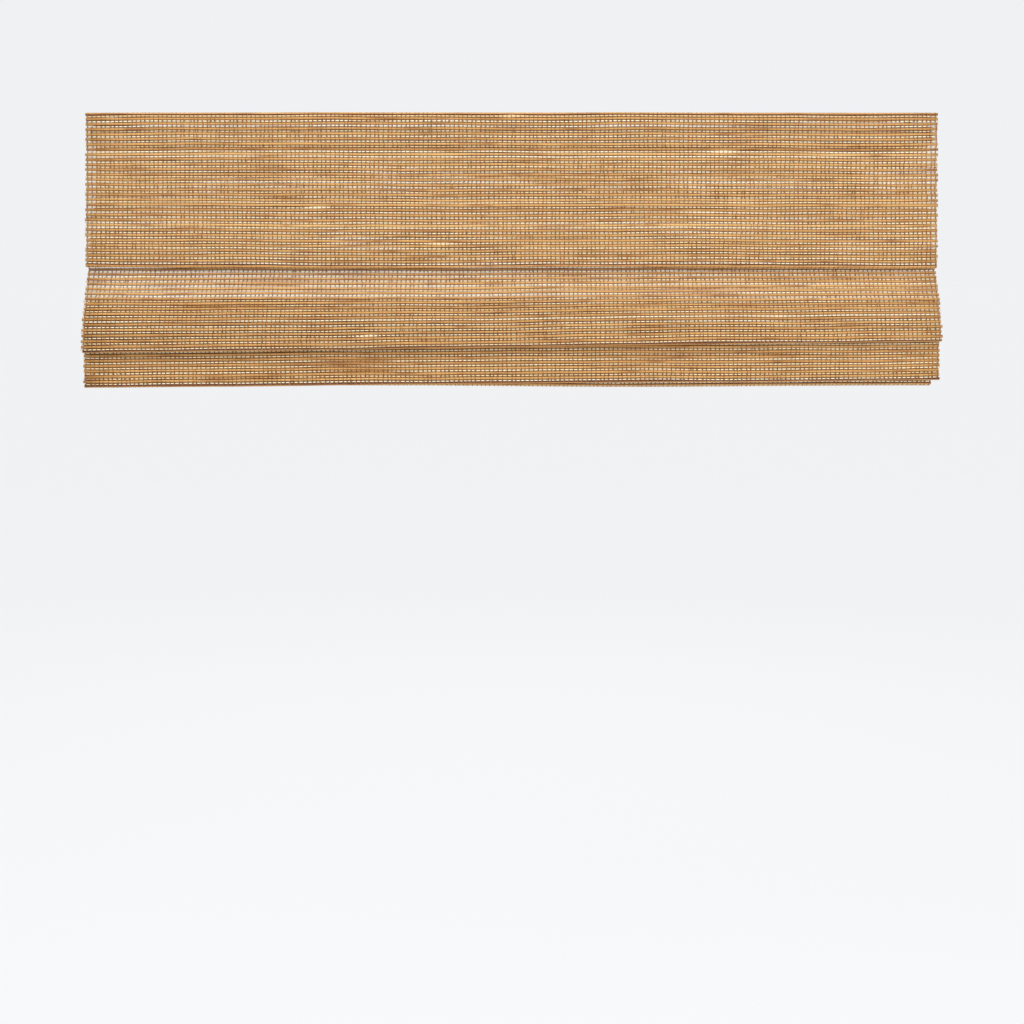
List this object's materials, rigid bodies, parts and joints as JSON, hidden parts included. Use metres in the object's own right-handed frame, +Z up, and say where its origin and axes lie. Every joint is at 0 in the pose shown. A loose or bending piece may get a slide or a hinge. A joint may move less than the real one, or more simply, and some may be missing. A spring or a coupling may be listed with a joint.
{
  "type": "motorized bamboo roman shade",
  "caption": "Woven bamboo roman shade drawn up in folds under a wooden headrail, with a front valance, wall brackets, a motor-driven cord lift and a weighted bottom hem.",
  "frame": {"origin": "centre of the four wall screws, on the wall's face", "axes": "+X along the headrail, +Y into the wall, +Z up"},
  "size_m": [0.914, 0.0931, 0.2964],
  "materials": {
    "board_wood": "bare sawn softwood",
    "loop_tape": "white napped tape",
    "hook_tape": "translucent hook tape",
    "bamboo": "natural bamboo reeds with cream yarn and brown binding thread",
    "bracket_steel": "black powder coat",
    "bolt_steel": "dark plated steel",
    "screw_steel": "antique plated steel",
    "motor_casing": "satin anodised",
    "white_plastic": "white moulded plastic",
    "button_plastic": "grey moulded plastic",
    "lens_plastic": "clear green lens",
    "zinc_steel": "zinc plated",
    "spool_plastic": "white moulded plastic",
    "cord": "braided polyester",
    "ring_plastic": "moulded plastic",
    "bar_white": "white lacquer on an extrusion",
    "cap_plastic": "white moulded plastic"
  },
  "bodies": {
    "headrail": {"headrail_board": "board_wood", "front_loop_tape": "loop_tape", "rear_loop_tape": "loop_tape", "valance_hook_tape": "hook_tape", "shade_hook_tape": "hook_tape", "valance_mat": "bamboo", "shade_mat": "bamboo", "bracket_left": "bracket_steel", "bracket_right": "bracket_steel", "bracket_bolts": "bolt_steel", "bracket_washers": "bolt_steel", "bracket_nuts": "bolt_steel", "wall_screws": "screw_steel", "motor_tube": "motor_casing", "motor_head": "white_plastic", "motor_end_cap": "white_plastic", "spool_cradle_1": "white_plastic", "spool_cradle_2": "white_plastic", "spool_cradle_3": "white_plastic", "spool_cradle_4": "white_plastic", "status_lens": "lens_plastic", "motor_clip_left": "zinc_steel", "motor_clip_right": "zinc_steel", "clip_screws": "zinc_steel", "cradle_screws": "zinc_steel", "lift_cord_1": "cord", "lift_cord_2": "cord", "lift_cord_3": "cord", "lift_cord_4": "cord", "cord_rings_1": "ring_plastic"},
    "fold_row_2": {"cord_rings_2": "ring_plastic"},
    "fold_row_3": {"cord_rings_3": "ring_plastic"},
    "fold_row_4": {"cord_rings_4": "ring_plastic"},
    "bottom_rail": {"cord_rings_5": "ring_plastic", "cord_orbs": "ring_plastic", "bottom_bar": "bar_white", "bar_cap_left": "cap_plastic", "bar_cap_right": "cap_plastic"},
    "drive": {"drive_shaft": "zinc_steel", "cord_spool_1": "spool_plastic", "cord_spool_2": "spool_plastic", "cord_spool_3": "spool_plastic", "cord_spool_4": "spool_plastic"},
    "button": {"motor_button": "button_plastic"}
  },
  "joints": [
    {"name": "lift", "type": "slide", "parent": "headrail", "child": "fold_row_2", "axis": [0, 0, -1], "range_m": [0, 0.104], "deforming": ["shade_mat", "lift_cord_1", "lift_cord_2", "lift_cord_3", "lift_cord_4"]},
    {"name": "row_3_drop", "type": "slide", "parent": "fold_row_2", "child": "fold_row_3", "axis": [0, 0, -1], "range_m": [0, 0.1605]},
    {"name": "row_4_drop", "type": "slide", "parent": "fold_row_3", "child": "fold_row_4", "axis": [0, 0, -1], "range_m": [0, 0.137]},
    {"name": "bottom_drop", "type": "slide", "parent": "fold_row_4", "child": "bottom_rail", "axis": [0, 0, -1], "range_m": [0, 0.1125]},
    {"name": "drive_spin", "type": "hinge", "parent": "headrail", "child": "drive", "pos_m": [0, -0.027, -0.022], "axis": [-1, 0, 0], "range_deg": [0, 3065]},
    {"name": "button_press", "type": "slide", "parent": "headrail", "child": "button", "axis": [0, 0, 1], "range_m": [0, 0.0008], "stiffness_N_per_m": 400}
  ],
  "couplings": [
    {"joint": "row_3_drop", "follows": "lift", "ratio": 1.5385},
    {"joint": "row_4_drop", "follows": "lift", "ratio": 1.3125},
    {"joint": "bottom_drop", "follows": "lift", "ratio": 1.0769},
    {"joint": "drive_spin", "follows": "lift", "rad_per_m": 513.32}
  ]
}
